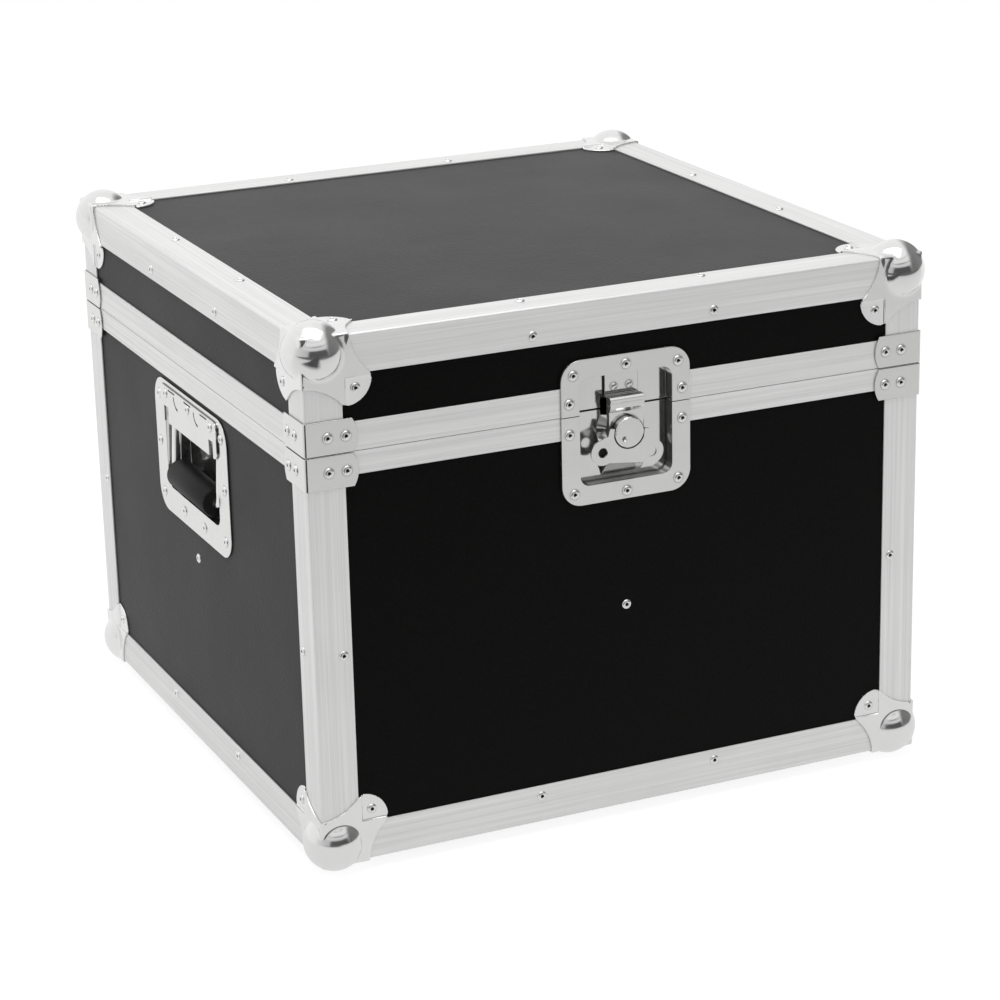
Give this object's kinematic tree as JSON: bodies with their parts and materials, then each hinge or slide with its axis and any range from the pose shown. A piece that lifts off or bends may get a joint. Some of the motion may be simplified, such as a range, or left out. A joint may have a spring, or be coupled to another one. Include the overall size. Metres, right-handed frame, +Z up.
{
  "type": "par can flight case",
  "caption": "Plywood flight case with aluminium edges, ball corners, hinged lid, recessed butterfly latch, recessed spring handles and inner dividers.",
  "frame": {"origin": "on the floor, under the middle of the case, which stands on its four lower ball corners", "axes": "+X to the right end, +Y to the hinged back, +Z up; the latch faces -Y"},
  "size_m": [0.529, 0.532, 0.426],
  "materials": {
    "laminate_board": "black fine-grained phenolic film on birch plywood",
    "divider_board": "birch plywood, sealed",
    "aluminium_profile": "satin anodised, drawn lines along the length",
    "zinc_steel": "bright zinc plate",
    "ball_steel": "bright nickel plate",
    "spring_steel": "oiled spring steel",
    "grip_rubber": "black, smooth",
    "foam": "black closed-cell foam",
    "rivet_steel": "bright zinc plate"
  },
  "bodies": {
    "base": {"base_front_panel": "laminate_board", "base_rim_front": "aluminium_profile", "base_back_panel": "laminate_board", "base_rim_back": "aluminium_profile", "base_left_panel": "laminate_board", "base_rim_left": "aluminium_profile", "base_right_panel": "laminate_board", "base_rim_right": "aluminium_profile", "base_corner_posts": "aluminium_profile", "base_ball_corners": "ball_steel", "base_corner_braces": "zinc_steel", "bottom_angle_front": "aluminium_profile", "bottom_angle_back": "aluminium_profile", "bottom_angle_left": "aluminium_profile", "bottom_angle_right": "aluminium_profile", "base_floor_panel": "laminate_board", "latch_dish_lower": "zinc_steel", "latch_wing_rest": "zinc_steel", "hinge_base_leaves": "zinc_steel", "hinge_pins": "zinc_steel", "handle_dish_left": "zinc_steel", "handle_cover_left": "zinc_steel", "handle_dish_right": "zinc_steel", "handle_cover_right": "zinc_steel", "handle_springs": "spring_steel", "divider_long": "divider_board", "divider_cross": "divider_board", "divider_brackets": "zinc_steel", "floor_pads": "foam", "frame_rivets_base": "rivet_steel", "fitting_rivets_base": "rivet_steel"},
    "lid": {"lid_front_panel": "laminate_board", "lid_rim_front": "aluminium_profile", "lid_back_panel": "laminate_board", "lid_rim_back": "aluminium_profile", "lid_left_panel": "laminate_board", "lid_rim_left": "aluminium_profile", "lid_right_panel": "laminate_board", "lid_rim_right": "aluminium_profile", "lid_corner_posts": "aluminium_profile", "lid_ball_corners": "ball_steel", "lid_corner_braces": "zinc_steel", "top_angle_front": "aluminium_profile", "top_angle_back": "aluminium_profile", "top_angle_left": "aluminium_profile", "top_angle_right": "aluminium_profile", "lid_top_panel": "laminate_board", "lid_pad": "foam", "latch_dish_upper": "zinc_steel", "latch_keeper": "zinc_steel", "hinge_lid_leaves": "zinc_steel", "rivets_lid": "rivet_steel"},
    "latch_drum": {"latch_drum": "zinc_steel", "latch_wing_pin": "zinc_steel"},
    "latch_wing": {"latch_wing": "zinc_steel"},
    "latch_hook": {"latch_hook": "zinc_steel"},
    "left_handle": {"handle_bail_left": "zinc_steel", "handle_grip_left": "grip_rubber"},
    "right_handle": {"handle_bail_right": "zinc_steel", "handle_grip_right": "grip_rubber"}
  },
  "joints": [
    {"name": "lid_hinge", "type": "hinge", "parent": "base", "child": "lid", "pos_m": [0, 0.2616, 0.3295], "axis": [-1, 0, 0], "range_deg": [0, 100]},
    {"name": "latch_drum_turn", "type": "hinge", "parent": "base", "child": "latch_drum", "pos_m": [0, -0.257, 0.3129], "axis": [0, -1, 0], "range_deg": [0, 180]},
    {"name": "latch_hook_slide", "type": "slide", "parent": "base", "child": "latch_hook", "axis": [0, 0, 1], "range_m": [0, 0.008]},
    {"name": "latch_wing_fold", "type": "hinge", "parent": "latch_drum", "child": "latch_wing", "pos_m": [0, -0.2617, 0.3129], "axis": [-0.9936, 0, 0.1132], "range_deg": [0, 90]},
    {"name": "left_handle_lift", "type": "hinge", "parent": "base", "child": "left_handle", "pos_m": [-0.2483, 0, 0.2825], "axis": [0, 1, 0], "range_deg": [0, 90], "stiffness_Nm_per_rad": 0.02},
    {"name": "right_handle_lift", "type": "hinge", "parent": "base", "child": "right_handle", "pos_m": [0.2483, 0, 0.2825], "axis": [0, -1, 0], "range_deg": [0, 90], "stiffness_Nm_per_rad": 0.02}
  ],
  "couplings": [
    {"joint": "latch_hook_slide", "follows": "latch_drum_turn", "m_per_rad": 0.0025464}
  ]
}
